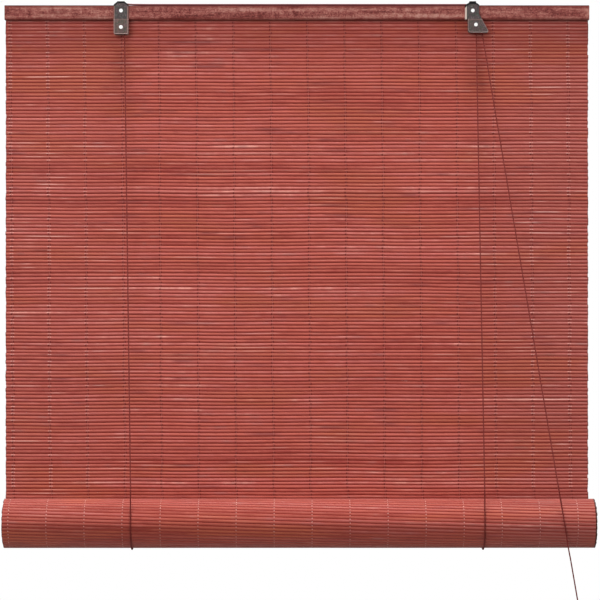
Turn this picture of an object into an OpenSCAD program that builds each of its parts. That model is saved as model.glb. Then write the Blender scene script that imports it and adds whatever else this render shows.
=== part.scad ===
// Bamboo roll up blind: a hanging mat of split-bamboo slats, partly rolled up from below and
// lifted by two cord loops that run over rollers in two sheet-steel brackets.
// X runs along the width, Y points to the wall and Z points up.
// The origin is midway between the two hang holes, on the wall.

/* [Blind] */
// Width of the mat, the head batten and the bottom rod
blind_w = 800; // [600:10:1200]
// Full length of the mat
mat_len = 2200; // [1600:10:2600]
// Hanging length of the mat, from its top edge to the axis of the roll
drop = 705; // [600:5:900]

/* [Slats] */
// Height of one slat
slat_h = 4.4; // [3.8:0.1:7]
// Gap between two slats
slat_gap = 0.36; // [0.2:0.02:0.8]
// Thickness of a slat at its crown
slat_t = 1.5; // [1.2:0.1:2.5]
// Thickness of a slat along its edges
edge_t = 0.6; // [0.4:0.05:0.8]
// Depth of the bevel along the back edges of a slat
back_bevel = 0.25; // [0.1:0.05:0.4]
// Length of one open light gap between two slats
light_gap_len = 38; // [10:1:45]
// Height of one open light gap
light_gap_h = 0.7; // [0.3:0.05:1]

/* [Warp threads] */
// Diameter of a warp thread
thread_d = 0.6; // [0.3:0.1:1]
// Distance between two warp threads
thread_pitch = 51; // [48:1:80]
// Distance from the left edge of the mat to the first warp thread
thread_margin = 9; // [4:1:30]

/* [Head batten] */
// Height of the head batten
batten_h = 20; // [18:0.5:28]
// Thickness of the head batten
batten_t = 10; // [9:0.5:16]
// Radius of the long edges of the head batten
batten_edge_r = 2.5; // [0.5:0.1:3.5]

/* [Roll] */
// Diameter of the bottom rod in the core of the roll
rod_d = 14; // [10:0.5:20]
// Room between two turns of the roll, which the warp threads take up
turn_gap = 0.74; // [0.6:0.02:1.5]
// Distance that the roll has crept to the right as it was wound
roll_creep = 3.5; // [0:0.5:6]

/* [Cords] */
// Diameter of the lift cords and the pull cord
cord_d = 1.8; // [1.2:0.1:2]
// Room for the back runs between the rear legs and the mat
back_cord_room = 3.3; // [3:0.1:6]

/* [Brackets] */
// Distance between the two hang holes
bracket_span = 480; // [300:10:500]
// Thickness of the sheet steel
sheet_t = 1.2; // [0.8:0.1:1.6]
// Room for the rollers between a front plate and its inner plate
plate_gap = 5.4; // [5.2:0.1:8]
// Width of the left bracket
plate_w = 20; // [18:0.5:26]
// Height of the left front plate below the head batten
plate_below = 20.7; // [20:0.1:30]
// Height of the lock plate below the head batten
lock_below = 18.5; // [17:0.1:26]
// Height of the shoulders that narrow the front plates to the necks
plate_shoulder = 4.5; // [3:0.1:6]
// Height of the upright part of the lock plate's neck, above its shoulders
neck_stand = 1.8; // [0.5:0.1:2.5]
// Radius of the other bottom corners of the front plates
plate_corner_r = 1.6; // [0.5:0.1:4]
// Radius of the bends down the sides of the left front plate, on the inside
plate_bend_r = 0.6; // [0.2:0.1:1.2]
// Step to the front where a front plate passes the lower edge of the head batten
plate_step = 0.6; // [0.2:0.1:1]
// Distance from the hang hole to the left side of the right bracket
lock_left = 10.1; // [9.5:0.1:13]
// Distance that the slanted side wall of the right bracket leans in
lock_lean = 2.1; // [1:0.1:4]
// Distance from the hang hole to the right side of the right bracket
lock_right = 8.6; // [8:0.1:12]
// Distance from the hang hole to the lower right corner of the lock plate
lock_flare = 21.5; // [18:0.5:28]
// Height over the lower edge of the head batten at which the lock plate starts to flare
flare_rise = 7; // [2:0.5:12]
// Distance from the hang hole to the left side of the lock plate below the head batten
lock_foot = 6.6; // [6:0.1:8]
// Radius of the lower left corner of the lock plate
foot_r = 4; // [1:0.5:6]
// Width of the necks that carry the brackets over the head batten
neck_w = 9; // [7:0.5:9.5]
// Room for the crossing cord between the head batten and the necks
neck_rise = 3; // [2.9:0.1:8]
// Radius of the bends of a neck, on the inside
neck_bend_r = 1; // [0.5:0.1:1.5]
// Diameter of a hang hole
hang_hole_d = 4.5; // [3:0.1:5]
// Height of the top of the head batten over the hang holes
hang_below_top = 8; // [6:0.5:12]
// Length of the rear legs below the hang holes
leg_below = 10; // [6:0.5:16]

/* [Rollers] */
// Radius of a roller at the bottom of its groove
groove_r = 3.4; // [3:0.1:3.6]
// Radius of the flanges of a roller
flange_r = 5; // [4.2:0.1:5.2]
// Thickness of the flanges on the left rollers
left_flange_t = 1.2; // [0.3:0.1:1.4]
// Thickness of the flanges on the right rollers, which take two cords
right_flange_t = 0.3; // [0.2:0.05:0.4]
// Diameter of the hubs that show in the front plates
hub_d = 5; // [4:0.1:5.8]
// Distance that a hub stands proud of its front plate
hub_proud = 0.4; // [0.1:0.1:1]
// Depth of the upper rollers below the top of the head batten
upper_roller_drop = 8.5; // [7.5:0.5:10]
// Depth of the left lower roller below the top of the head batten
lower_roller_drop = 31; // [28:0.5:34]
// Depth of the lock roller below the top of the head batten
lock_roller_drop = 27.7; // [25:0.1:29]
// Distance of the lock roller to the right of the hang hole
lock_shift = 4.2; // [3.5:0.1:4.6]
// Travel of the lock roller along its slanted slot
lock_travel = 2.4; // [1:0.1:2.5]
// Angle of the slanted slot, from upright
lock_slot_angle = 25; // [10:1:30]

/* [Fasteners] */
// Diameter of a tack that holds a bracket to the head batten
tack_d = 1.6; // [1.2:0.1:2.2]
// Length of a tack in the head batten
tack_len = 8; // [5:0.5:8.5]
// Diameter of a tack's head
tack_head_d = 3.4; // [2.6:0.1:3.6]
// Thickness of a tack's head
tack_head_t = 0.7; // [0.4:0.1:0.8]
// Width of a staple that holds the mat
staple_w = 10; // [6:0.5:12]
// Width of a staple that holds the fixed end of a lift cord
anchor_w = 5; // [4.5:0.1:7]
// Thickness of the staple wire
staple_wire = 0.7; // [0.5:0.1:1]
// Depth that the staples go into the head batten
staple_depth = 6; // [4:0.5:8]

/* [Cord knob] */
// Length of the turned knob on the pull cord
knob_len = 42; // [34:1:60]
// Greatest diameter of the knob
knob_d = 20; // [16:0.5:30]
// Diameter of the knob's neck
knob_neck_d = 7; // [5:0.5:10]
// Depth of the recess for the knot
knob_recess = 9; // [7:0.5:12]
// Diameter of the end knot
knot_d = 4.8; // [4:0.1:6]

/* [Hidden] */
// Clearance between pieces that move on each other
run_clear = 0.3;
// Clearance between pieces that lie on each other
lie_clear = 0.1;
// Overlap of a cutting shape beyond the face that it cuts
cut = 1;

// Places along Y, from the wall to the front
mat_back_y = -(sheet_t + back_cord_room);
mat_front_y = mat_back_y - slat_t;
batten_back_y = mat_front_y - lie_clear;
batten_front_y = batten_back_y - batten_t;
inner_plate_y = batten_front_y - sheet_t;
plate_back_y = inner_plate_y - plate_gap;
plate_front_y = plate_back_y - sheet_t;
cord_y = inner_plate_y - plate_gap / 2;
twin_cord_y = cord_d / 2 + lie_clear;
back_cord_y = mat_back_y + run_clear + cord_d / 2;
top_cord_y = (batten_front_y + batten_back_y) / 2;

// Places along Z
batten_top = hang_below_top;
batten_bottom = batten_top - batten_h;
mat_top = batten_top - 0.5;
roll_z = mat_top - drop;
plate_bottom = batten_bottom - plate_below;
lock_bottom = batten_bottom - lock_below;
bridge_z = batten_top + neck_rise;
plate_top = bridge_z + sheet_t;
gate_z = batten_top - 2;
upper_roller_z = batten_top - upper_roller_drop;
lower_roller_z = batten_top - lower_roller_drop;
lock_roller_z = batten_top - lock_roller_drop;
housing_exit_z = min(plate_bottom, lock_bottom) - 1;
top_cord_z = batten_top + run_clear + cord_d / 2;
staple_z = batten_top - batten_h / 2;
anchor_z = batten_bottom + 6;

// Places along X
left_x = -bracket_span / 2;
right_x = bracket_span / 2;
lock_x = right_x + lock_shift;
lock_slot = lock_travel * [sin(lock_slot_angle), cos(lock_slot_angle)];

// The mat
slat_pitch = slat_h + slat_gap;
slat_count = floor(drop / slat_pitch);
mat_bottom = mat_top - slat_count * slat_pitch;
edge_back_y = mat_back_y - back_bevel;
edge_front_y = edge_back_y - edge_t;
bevel_share = 0.1;
crown_shares = [0, 0.18, 0.5, 0.82];
thread_count = floor((blind_w - 2 * thread_margin) / thread_pitch) + 1;
thread_x = [for (i = [0 : thread_count - 1]) thread_margin - blind_w / 2 + i * thread_pitch];
first_open_joint = ceil(batten_h / slat_pitch) + 1;
light_gap_count = min(120, slat_count - first_open_joint - 2);
// Golden ratio, whose multiples scatter the light gaps evenly over the mat
golden = (sqrt(5) - 1) / 2;

// The roll: its turns fill the space from the rod out to roll_r
turn_pitch = slat_t + turn_gap;
core_gap = slat_pitch * slat_pitch / (4 * rod_d) + run_clear;
core_r = rod_d / 2 + core_gap + slat_t / 2;
rolled_slats = floor((mat_len - drop) / slat_pitch);
roll_mid_r = sqrt(core_r * core_r + turn_pitch * rolled_slats * slat_pitch / PI);
roll_r = roll_mid_r + slat_t / 2;
ring_r = roll_r + run_clear + thread_d / 2;
roll_y = mat_front_y - thread_d - 3 * run_clear - roll_r - thread_d;

// Angle between two joints of the mat on a turn of radius r
function wind_step(r) = 2 * asin(slat_pitch / (2 * r));
// Each joint of the rolled mat, from the outside in: its radius and its angle from the back downwards
joints = [
    for (
        i = 0, r = roll_mid_r, a = 0;
        i <= rolled_slats;
        i = i + 1, a = a + wind_step(r), r = r - turn_pitch * wind_step(r) / 360
    )
        [r, a]
];
// A point at radius r and angle a of the roll, as [y, z]
function on_roll(r, a) = [roll_y + r * cos(a), roll_z - r * sin(a)];
// The same point as [x, y, z]
function around_roll(x, r, a) = [x, on_roll(r, a).x, on_roll(r, a).y];

// Lean of a cord that comes straight from a housing and just touches a circle about the roll's axis
function lean_to(r) =
    let (dy = cord_y - roll_y, dz = housing_exit_z - roll_z)
    atan(dy / dz) + asin(r / norm([dy, dz]));
// Point on that cord at height z
function on_lean(x, r, z) =
    let (lean = lean_to(r), touch = around_roll(x, r, 180 + lean))
    [x, touch.y + (z - touch.z) * tan(lean), z];

// Lift cords. A loop reaches loop_over above the roll and leaves the roll's back at loop_leave_angle.
loop_r = roll_r + run_clear + cord_d / 2;
loop_over = 13.5;
loop_top_z = roll_z + roll_r + loop_over;
loop_mid_z = (roll_z + loop_top_z) / 2;
loop_leave_angle = 30;
loop_step = 9;
wrap_r = groove_r + run_clear + cord_d / 2;
left_cord_x = left_x + wrap_r;
right_cord_x = right_x + 5;
left_loop_x = left_x + 17;
right_loop_x = right_x + 12;
anchor_knot_d = 2.2;
anchor_knot_len = 3;

// Pull cord: it leaves the lock's throat, lies over the front of the roll and hangs down to its knob
pull_r = ring_r + thread_d / 2 + run_clear + cord_d / 2;
throat_x = right_x + 13.5;
pull_exit = [throat_x, cord_y, housing_exit_z];
pull_top = on_lean(right_x + 111, pull_r, roll_z + 50);
pull_low = [right_x + 127, roll_y - pull_r, roll_z - 48];
pull_end = [right_x + 139, roll_y - pull_r - 0.5, roll_z - 118];
pull_dir = (pull_end - pull_low) / norm(pull_end - pull_low);
pull_tilt = acos(-pull_dir.z);
pull_turn = atan2(-pull_dir.y, -pull_dir.x);

// Tacks: one each side of the left rollers, and two above each other by the lock's slanted wall
tack_z = batten_bottom + 4;
tack_side = 6.4;
tack_step = 12;
lock_tack_room = lock_lean * tack_head_t / plate_gap + run_clear;
lock_tack_x = right_x - lock_left + sheet_t + lock_tack_room + tack_head_d / 2;
tack_places = [
    [left_x - tack_side, tack_z], [left_x + tack_side, tack_z],
    [lock_tack_x, tack_z], [lock_tack_x, tack_z + tack_step]
];

wood = [0.58, 0.33, 0.30];
bamboo = [0.65, 0.29, 0.25];
thread = [0.62, 0.30, 0.27];
steel = [0.38, 0.37, 0.35];
bright = [0.75, 0.75, 0.74];
nylon = [0.95, 0.95, 0.93];
maroon = [0.36, 0.13, 0.12];

// Extrudes a profile, drawn with Y across and Z up, along X
module along_x(length) {
    rotate([90, 0, 90])
        linear_extrude(height = length, center = true)
            children();
}

// Extrudes an outline, drawn with X across and Z up, from y to the front
module along_y(y, depth) {
    translate([0, y, 0])
        rotate([90, 0, 0])
            linear_extrude(height = depth)
                children();
}

// Extrudes a section, drawn with X across and Y up, from the lower to the upper height
module along_z(low, high) {
    translate([0, 0, low])
        linear_extrude(height = high - low)
            children();
}

// A round bar from y to the front
module bar_y(x, y, z, d, length) {
    translate([x, y, z])
        rotate([90, 0, 0])
            cylinder(d = d, h = length, $fn = 48);
}

// A rectangle with round corners, from one corner to the other
module rounded_rect(low, high, r) {
    translate([low.x + r, low.y])
        square([high.x - low.x - 2 * r, high.y - low.y]);
    translate([low.x, low.y + r])
        square([high.x - low.x, high.y - low.y - 2 * r]);
    for (x = [low.x + r, high.x - r], y = [low.y + r, high.y - r])
        translate([x, y])
            circle(r, $fn = 48);
}

// A straight cord between two points
module straight_cord(from, to) {
    way = to - from;
    translate(from)
        rotate([0, acos(way.z / norm(way)), atan2(way.y, way.x)])
            cylinder(d = cord_d, h = norm(way), $fn = 24);
}

// A cord along a route, built ring by ring. The route is nowhere parallel to side.
module tube(route, side) {
    sides = 8;
    last = len(route) - 1;
    points = [
        for (i = [0 : last])
            let (
                ahead = route[min(i + 1, last)] - route[max(i - 1, 0)],
                along = ahead / norm(ahead),
                across = cross(along, side) / norm(cross(along, side)),
                up = cross(across, along)
            )
            for (k = [0 : sides - 1])
                let (turn = k * 360 / sides)
                route[i] + cord_d / 2 * (cos(turn) * across + sin(turn) * up)
    ];
    skin = [
        for (i = [0 : last - 1], k = [0 : sides - 1])
            let (a = i * sides + k, b = i * sides + (k + 1) % sides)
            [a, b, b + sides, a + sides]
    ];
    first_cap = [for (k = [sides - 1 : -1 : 0]) k];
    last_cap = [for (k = [0 : sides - 1]) last * sides + k];
    polyhedron(points, concat([first_cap], skin, [last_cap]), convexity = 6);
}

// A wire staple with its crown along X, behind the origin, and its legs to the front
module staple(width, leg) {
    translate([-width / 2, 0, -staple_wire / 2])
        cube([width, staple_wire, staple_wire]);
    for (x = [-width / 2, width / 2 - staple_wire])
        translate([x, -leg, -staple_wire / 2])
            cube([staple_wire, leg + staple_wire, staple_wire]);
}

module head_batten() {
    color(wood)
        difference() {
            along_x(blind_w)
                rounded_rect([batten_front_y, batten_bottom], [batten_back_y, batten_top], batten_edge_r);
            for (p = tack_places)
                bar_y(
                    p.x, batten_front_y + tack_len + lie_clear, p.y,
                    tack_d + 2 * lie_clear, tack_len + cut
                );
        }
}

// Depth of a slat's rounded front, from 0 at its edges to 1 at its crown
function crown(share) = 1 - pow(abs(2 * share - 1), 2.5);

// The outline of all hanging slats: rounded fronts going down, bevelled flat backs going up
module mat_profile() {
    front = [
        for (i = [0 : slat_count - 1], share = crown_shares)
            [edge_front_y + (mat_front_y - edge_front_y) * crown(share), mat_top - (i + share) * slat_pitch]
    ];
    back = [
        for (i = [slat_count - 1 : -1 : 0], share = [1, 1 - bevel_share, bevel_share])
            [share == 1 ? edge_back_y : mat_back_y, mat_top - (i + share) * slat_pitch]
    ];
    polygon(concat(front, [[edge_front_y, mat_bottom]], back, [[edge_back_y, mat_top]]));
}

// The hanging mat: slats as ridges of one wall, with light gaps scattered between the warp threads
module slat_mat() {
    color(bamboo)
        difference() {
            along_x(blind_w)
                mat_profile();
            for (j = [0 : light_gap_count - 1])
                let (scatter = golden * j - floor(golden * j), bay = floor((thread_count - 1) * scatter))
                translate([
                    thread_x[bay] + (thread_pitch - light_gap_len) / 2,
                    mat_front_y - cut,
                    mat_top - (first_open_joint + j) * slat_pitch - light_gap_h / 2
                ])
                    cube([light_gap_len, slat_t + 2 * cut, light_gap_h]);
        }
}

module warp_threads() {
    color(thread)
        for (x = thread_x) {
            translate([x, mat_front_y - run_clear - thread_d / 2, mat_bottom])
                cylinder(d = thread_d, h = batten_bottom - lie_clear - mat_bottom, $fn = 16);
            translate([x, mat_back_y + run_clear + thread_d / 2, mat_bottom])
                cylinder(d = thread_d, h = mat_top - mat_bottom, $fn = 16);
        }
}

module mat_staples() {
    color(bright)
        for (i = [1 : 2 : thread_count - 2])
            translate([thread_x[i] + thread_pitch / 2, mat_back_y, staple_z])
                staple(staple_w, slat_t + lie_clear + staple_depth);
}

module anchor_staples() {
    crown_y = back_cord_y + cord_d / 2 + lie_clear;
    color(bright)
        for (x = [left_loop_x, right_loop_x])
            translate([x, crown_y, anchor_z])
                staple(anchor_w, crown_y - batten_back_y + staple_depth);
}

module bracket_tacks() {
    color(bright)
        for (p = tack_places) {
            bar_y(p.x, inner_plate_y, p.y, tack_head_d, tack_head_t);
            bar_y(p.x, batten_front_y + tack_len, p.y, tack_d, tack_len + sheet_t);
        }
}

// The neck over the head batten and the rear leg behind it, as one bent strap
module hang_strap(x) {
    outer_r = neck_bend_r + sheet_t;
    translate([x, 0, 0])
        along_x(neck_w)
            difference() {
                rounded_rect([inner_plate_y, -leg_below - outer_r], [0, bridge_z + sheet_t], outer_r);
                rounded_rect(
                    [batten_front_y, -leg_below - 2 * outer_r - cut], [-sheet_t, bridge_z], neck_bend_r
                );
                translate([inner_plate_y - cut, -leg_below - 2 * outer_r])
                    square([-inner_plate_y + 2 * cut, 2 * outer_r]);
            }
}

// Holes that both brackets have: hang hole, upper roller and tacks, and the gate for the cord
module shared_holes(x, right_side) {
    bar_y(x, cut, 0, hang_hole_d, sheet_t + 2 * cut);
    bar_y(x, batten_front_y + cut, upper_roller_z, hub_d + 2 * lie_clear, -plate_front_y + cut);
    for (p = tack_places)
        bar_y(p.x, batten_front_y + cut, p.y, tack_d + 2 * lie_clear, sheet_t + 1.5 * cut);
    translate([x + neck_w / 2, inner_plate_y - lie_clear, gate_z])
        cube([right_side - neck_w / 2, sheet_t + 2 * lie_clear, plate_top - gate_z + cut]);
}

// Left bracket: a flat channel round two rollers, carried by its neck
module left_bracket() {
    color(steel)
        difference() {
            union() {
                intersection() {
                    translate([left_x, 0, 0]) {
                        along_z(batten_bottom, plate_top)
                            left_section();
                        lower_plates(plate_w / 2, plate_w / 2, plate_bottom);
                    }
                    along_y(0, -plate_front_y + cut)
                        left_outline();
                }
                hang_strap(left_x);
            }
            shared_holes(left_x, plate_w / 2 - sheet_t);
            bar_y(left_x, batten_front_y + cut, lower_roller_z, hub_d + 2 * lie_clear, -plate_front_y + cut);
        }
}

// Section of the left bracket above its step: a box of sheet with two bends down its front
module left_section() {
    half = plate_w / 2;
    outer_r = plate_bend_r + sheet_t;
    difference() {
        rounded_rect([-half, plate_front_y], [half, batten_front_y + outer_r], outer_r);
        rounded_rect([sheet_t - half, plate_back_y], [half - sheet_t, batten_front_y], plate_bend_r);
        translate([-half, batten_front_y])
            square([plate_w, outer_r + cut]);
    }
    translate([-half, inner_plate_y])
        square([plate_w, sheet_t]);
}

// The front plate and the inner plate below the head batten, about x = 0
module lower_plates(left, right, bottom) {
    along_z(bottom, batten_bottom) {
        translate([-left, plate_front_y - plate_step])
            square([left + right, sheet_t]);
        translate([-left, inner_plate_y])
            square([left + right, sheet_t]);
    }
}

module left_outline() {
    half = plate_w / 2;
    intersection() {
        rounded_rect([left_x - half, plate_bottom], [left_x + half, plate_top + plate_w], plate_corner_r);
        translate([left_x, 0])
            polygon([
                [-half, plate_bottom], [half, plate_bottom], [half, plate_top - plate_shoulder],
                [neck_w / 2, plate_top], [-neck_w / 2, plate_top], [-half, plate_top - plate_shoulder]
            ]);
    }
}

// Right bracket: the cord lock, open to the right, with a slanted wall and a flared lower plate
module right_bracket() {
    color(steel)
        difference() {
            union() {
                intersection() {
                    translate([right_x, 0, 0]) {
                        along_z(batten_bottom, plate_top)
                            lock_section();
                        lower_plates(lock_left, lock_flare, lock_bottom);
                    }
                    along_y(0, -plate_front_y + cut)
                        translate([right_x, 0])
                            lock_outline();
                }
                hang_strap(right_x);
            }
            shared_holes(right_x, lock_right);
            lock_slot_cut();
        }
}

// Section of the lock above its step: front plate, slanted wall and inner plate
module lock_section() {
    lean_in = [lock_lean, 0];
    wall = [sheet_t, 0];
    front_left = [-lock_left, plate_front_y] + lean_in;
    back_left = [-lock_left, batten_front_y];
    polygon([
        front_left, [lock_flare, plate_front_y], [lock_flare, plate_back_y],
        [front_left.x, plate_back_y] + wall, [back_left.x, inner_plate_y] + wall,
        [lock_flare, inner_plate_y], [lock_flare, batten_front_y], back_left
    ]);
}

// Outline of the lock: shoulders at its top, a slanted right side and a round lower left corner
module lock_outline() {
    foot = [
        for (turn = [270 : -15 : 180])
            [foot_r * (1 + cos(turn)) - lock_foot, lock_bottom + foot_r * (1 + sin(turn))]
    ];
    polygon(concat(
        [
            [-lock_left, batten_bottom], [-lock_left, plate_top - plate_shoulder],
            [-neck_w / 2, plate_top - neck_stand], [-neck_w / 2, plate_top],
            [neck_w / 2, plate_top], [neck_w / 2, plate_top - neck_stand],
            [lock_right, plate_top - plate_shoulder], [lock_right, batten_bottom + flare_rise],
            [lock_flare, lock_bottom + plate_corner_r], [lock_flare - plate_corner_r, lock_bottom]
        ],
        foot,
        [[-lock_foot, batten_bottom]]
    ));
}

// The slanted slot in which the hubs of the lock roller slide
module lock_slot_cut() {
    slot_d = hub_d + 2 * lie_clear;
    depth = -plate_front_y + cut;
    for (share = [0, 1])
        bar_y(
            lock_x + share * lock_slot.x, batten_front_y + cut, lock_roller_z + share * lock_slot.y,
            slot_d, depth
        );
    translate([lock_x, batten_front_y + cut, lock_roller_z])
        rotate([0, lock_slot_angle, 0])
            translate([-slot_d / 2, -depth, 0])
                cube([slot_d, depth, lock_travel]);
}

// A grooved roller with hubs on both ends, turned about Y
module roller(x, z, flange_t, step) {
    rear = sheet_t - lie_clear;
    low = rear + lie_clear + run_clear / 2;
    high = rear + lie_clear + plate_gap - run_clear / 2;
    front = sheet_t + plate_gap + sheet_t + step + hub_proud - lie_clear;
    color(nylon)
        translate([x, batten_front_y - lie_clear, z])
            rotate([90, 0, 0])
                rotate_extrude($fn = 64)
                    polygon([
                        [0, 0], [hub_d / 2, 0], [hub_d / 2, low], [flange_r, low],
                        [flange_r, low + flange_t], [groove_r, low + flange_t],
                        [groove_r, high - flange_t], [flange_r, high - flange_t],
                        [flange_r, high], [hub_d / 2, high], [hub_d / 2, front], [0, front]
                    ]);
}

module left_upper_roller() { roller(left_x, upper_roller_z, left_flange_t, 0); }
module left_lower_roller() { roller(left_x, lower_roller_z, left_flange_t, plate_step); }
module right_upper_roller() { roller(right_x, upper_roller_z, right_flange_t, 0); }
module lock_roller() { roller(lock_x, lock_roller_z, right_flange_t, plate_step); }

// Front run of a lift cord, from its housing to the top of its loop
module cord_front(x, loop_x) {
    top = [x, cord_y, housing_exit_z - run_clear];
    low = on_lean(loop_x, loop_r, loop_top_z + run_clear);
    color(maroon)
        straight_cord(low, top);
}

module left_cord_front() { cord_front(left_cord_x, left_loop_x); }
module right_cord_front() { cord_front(right_cord_x, right_loop_x); }

// Loop of a lift cord: down the front of the roll, under it and up behind the mat
module cord_loop(x) {
    lean = lean_to(loop_r);
    arc_start = 180 + lean;
    arc_count = ceil((arc_start - loop_leave_angle) / loop_step);
    leave = around_roll(x, loop_r, loop_leave_angle);
    rise = (back_cord_y - leave.y) / tan(loop_leave_angle);
    route = concat(
        [on_lean(x, loop_r, loop_top_z), on_lean(x, loop_r, loop_mid_z)],
        [
            for (i = [0 : arc_count])
                around_roll(x, loop_r, arc_start - i * (arc_start - loop_leave_angle) / arc_count)
        ],
        [
            [x, back_cord_y, leave.z + rise],
            [x, back_cord_y, loop_mid_z],
            [x, back_cord_y, loop_top_z]
        ]
    );
    color(maroon)
        tube(route, [1, 0, 0]);
}

module left_cord_loop() { cord_loop(left_loop_x); }
module right_cord_loop() { cord_loop(right_loop_x); }

// Back run of a lift cord, with the knot that stops it at its anchor staple
module cord_back(x) {
    knot_z = anchor_z + staple_wire / 2 + lie_clear;
    color(maroon)
        translate([x, back_cord_y, 0]) {
            translate([0, 0, loop_top_z + run_clear])
                cylinder(d = cord_d, h = knot_z - loop_top_z - run_clear, $fn = 24);
            translate([0, 0, knot_z])
                cylinder(d = anchor_knot_d, h = anchor_knot_len, $fn = 24);
        }
}

module left_cord_back() { cord_back(left_loop_x); }
module right_cord_back() { cord_back(right_loop_x); }

// The left cord past its rollers, over the head batten and down through the lock
module crossing_cord() {
    y = cord_y + twin_cord_y;
    route = [
        [left_cord_x, cord_y, housing_exit_z],
        [left_cord_x, cord_y, lower_roller_z],
        [left_cord_x, cord_y, upper_roller_z],
        [left_cord_x + 0.4, cord_y + 0.2, batten_top - 4],
        [left_cord_x + 1.2, cord_y + 0.8, batten_top - 1],
        [left_cord_x + 1.8, cord_y + 2.4, top_cord_z],
        [left_cord_x + 2.6, cord_y + 4.2, top_cord_z + 0.3],
        [left_cord_x + 5, cord_y + 6.4, top_cord_z + 0.2],
        [left_cord_x + 12, top_cord_y - 1, top_cord_z],
        [left_cord_x + 40, top_cord_y, top_cord_z],
        [0, top_cord_y, top_cord_z],
        [right_x - 30, top_cord_y, top_cord_z],
        [right_x - 6, top_cord_y - 0.5, top_cord_z],
        [right_x + 1, cord_y + 6.8, top_cord_z + 0.2],
        [right_x + 4.8, cord_y + 5, top_cord_z + 0.3],
        [right_x + 6.4, cord_y + 3, top_cord_z],
        [right_x + 6.8, y + 0.4, batten_top - 1.4],
        [right_x + 6.5, y, batten_top - 5],
        [right_x + 6.6, y, upper_roller_z - 4],
        [right_x + 9.6, y, lock_roller_z + 6],
        [right_x + 11.4, y, lock_roller_z - 2],
        [right_x + 12.4, y, lock_roller_z - 10],
        [throat_x, y, housing_exit_z]
    ];
    color(maroon)
        tube(route, [0, 1, 0]);
}

// The right cord inside the lock: past the lock roller, over the upper roller and down again
module lock_cord() {
    y = cord_y - twin_cord_y;
    wrap_step = 15;
    route = concat(
        [
            [right_cord_x, cord_y, housing_exit_z],
            [right_x + 3.4, cord_y - 0.4, lock_roller_z - 11],
            [right_x + 0.6, y, lock_roller_z - 7.6],
            [right_x - 1.8, y, lock_roller_z - 4],
            [right_x - 2.8, y, lock_roller_z],
            [right_x - 4, y, lock_roller_z + 8]
        ],
        [
            for (a = [180 : -wrap_step : 15])
                [right_x + wrap_r * cos(a), y, upper_roller_z + wrap_r * sin(a)]
        ],
        [
            [right_x + 6.2, y, upper_roller_z - 4],
            [right_x + 9.6, y, lock_roller_z + 6],
            [right_x + 11.4, y, lock_roller_z - 2],
            [right_x + 12.4, y, lock_roller_z - 10],
            [throat_x, y, housing_exit_z]
        ]
    );
    color(maroon)
        tube(route, [0, 1, 0]);
}

// The rolled mat as one spiral wall. Its outermost turn shows the bevelled backs of the slats.
module mat_roll() {
    shown_angle = 380;
    outside = [
        for (i = [0 : rolled_slats - 1])
            let (
                start = on_roll(joints[i][0], joints[i][1]),
                end = on_roll(joints[i + 1][0], joints[i + 1][1]),
                along = (end - start) / norm(end - start),
                out = [-along.y, along.x]
            )
            for (share = joints[i][1] < shown_angle ? [0, bevel_share, 1 - bevel_share] : [0])
                start + share * slat_pitch * along + (slat_t / 2 - (share == 0 ? back_bevel : 0)) * out
    ];
    inside = [for (i = [rolled_slats : -1 : 0]) on_roll(joints[i][0] - slat_t / 2, joints[i][1])];
    last = joints[rolled_slats];
    color(bamboo)
        translate([roll_creep, 0, 0])
            along_x(blind_w)
                polygon(concat(outside, [on_roll(last[0] + slat_t / 2 - back_bevel, last[1])], inside));
}

module bottom_rod() {
    chamfer = 1;
    color(wood)
        translate([roll_creep, roll_y, roll_z])
            rotate([0, 90, 0]) {
                cylinder(d = rod_d, h = blind_w - 2 * chamfer, center = true, $fn = 64);
                for (side = [0, 180])
                    rotate([side, 0, 0])
                        translate([0, 0, blind_w / 2 - chamfer])
                            cylinder(d1 = rod_d, d2 = rod_d - 2 * chamfer, h = chamfer, $fn = 64);
            }
}

module roll_threads() {
    color(thread)
        for (x = thread_x)
            translate([x + roll_creep, roll_y, roll_z])
                rotate([0, 90, 0])
                    rotate_extrude($fn = 96)
                        translate([ring_r, 0])
                            circle(d = thread_d, $fn = 16);
}

module pull_cord_upper() {
    way = pull_top - pull_exit;
    gap = run_clear / norm(way) * way;
    color(maroon)
        straight_cord(pull_top - gap, pull_exit + gap);
}

// The pull cord where it lies over the front of the roll
module pull_cord_bend() {
    lean = lean_to(pull_r);
    route = [
        pull_top,
        on_lean(right_x + 115, pull_r, roll_z + 25),
        around_roll(right_x + 118.5, pull_r, 180 + lean),
        around_roll(right_x + 119, pull_r, 180),
        [right_x + 122.5, roll_y - pull_r, roll_z - 24],
        pull_low
    ];
    color(maroon)
        tube(route, [0, 1, 0]);
}

module pull_cord_lower() {
    color(maroon)
        straight_cord(pull_end + (knob_len - knob_recess) * pull_dir, pull_low + run_clear * pull_dir);
}

// Turns children so that their Z axis runs up along the pull cord, from its end
module on_pull_end() {
    translate(pull_end)
        rotate([0, pull_tilt, pull_turn])
            children();
}

// Radius of the turned knob at a share t of its length, from its neck to its foot
function knob_r(t) = knob_neck_d / 2 + (knob_d - knob_neck_d) / 2 * sin(126 * pow(t, 1.6));

module pull_knob() {
    steps = 14;
    bore_r = cord_d / 2 + run_clear;
    recess_r = knot_d / 2 + 1;
    outside = [for (i = [0 : steps]) [knob_r(i / steps), -i / steps * knob_len]];
    recess = [
        [recess_r, -knob_len], [recess_r, knob_recess - knob_len],
        [bore_r, knob_recess - knob_len], [bore_r, 0]
    ];
    color(wood)
        on_pull_end()
            rotate_extrude($fn = 64)
                polygon(concat(outside, recess));
}

module pull_knot() {
    color(maroon)
        on_pull_end()
            translate([0, 0, knob_recess - knob_len - knot_d / 2 - lie_clear])
                sphere(d = knot_d, $fn = 32);
}

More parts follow.
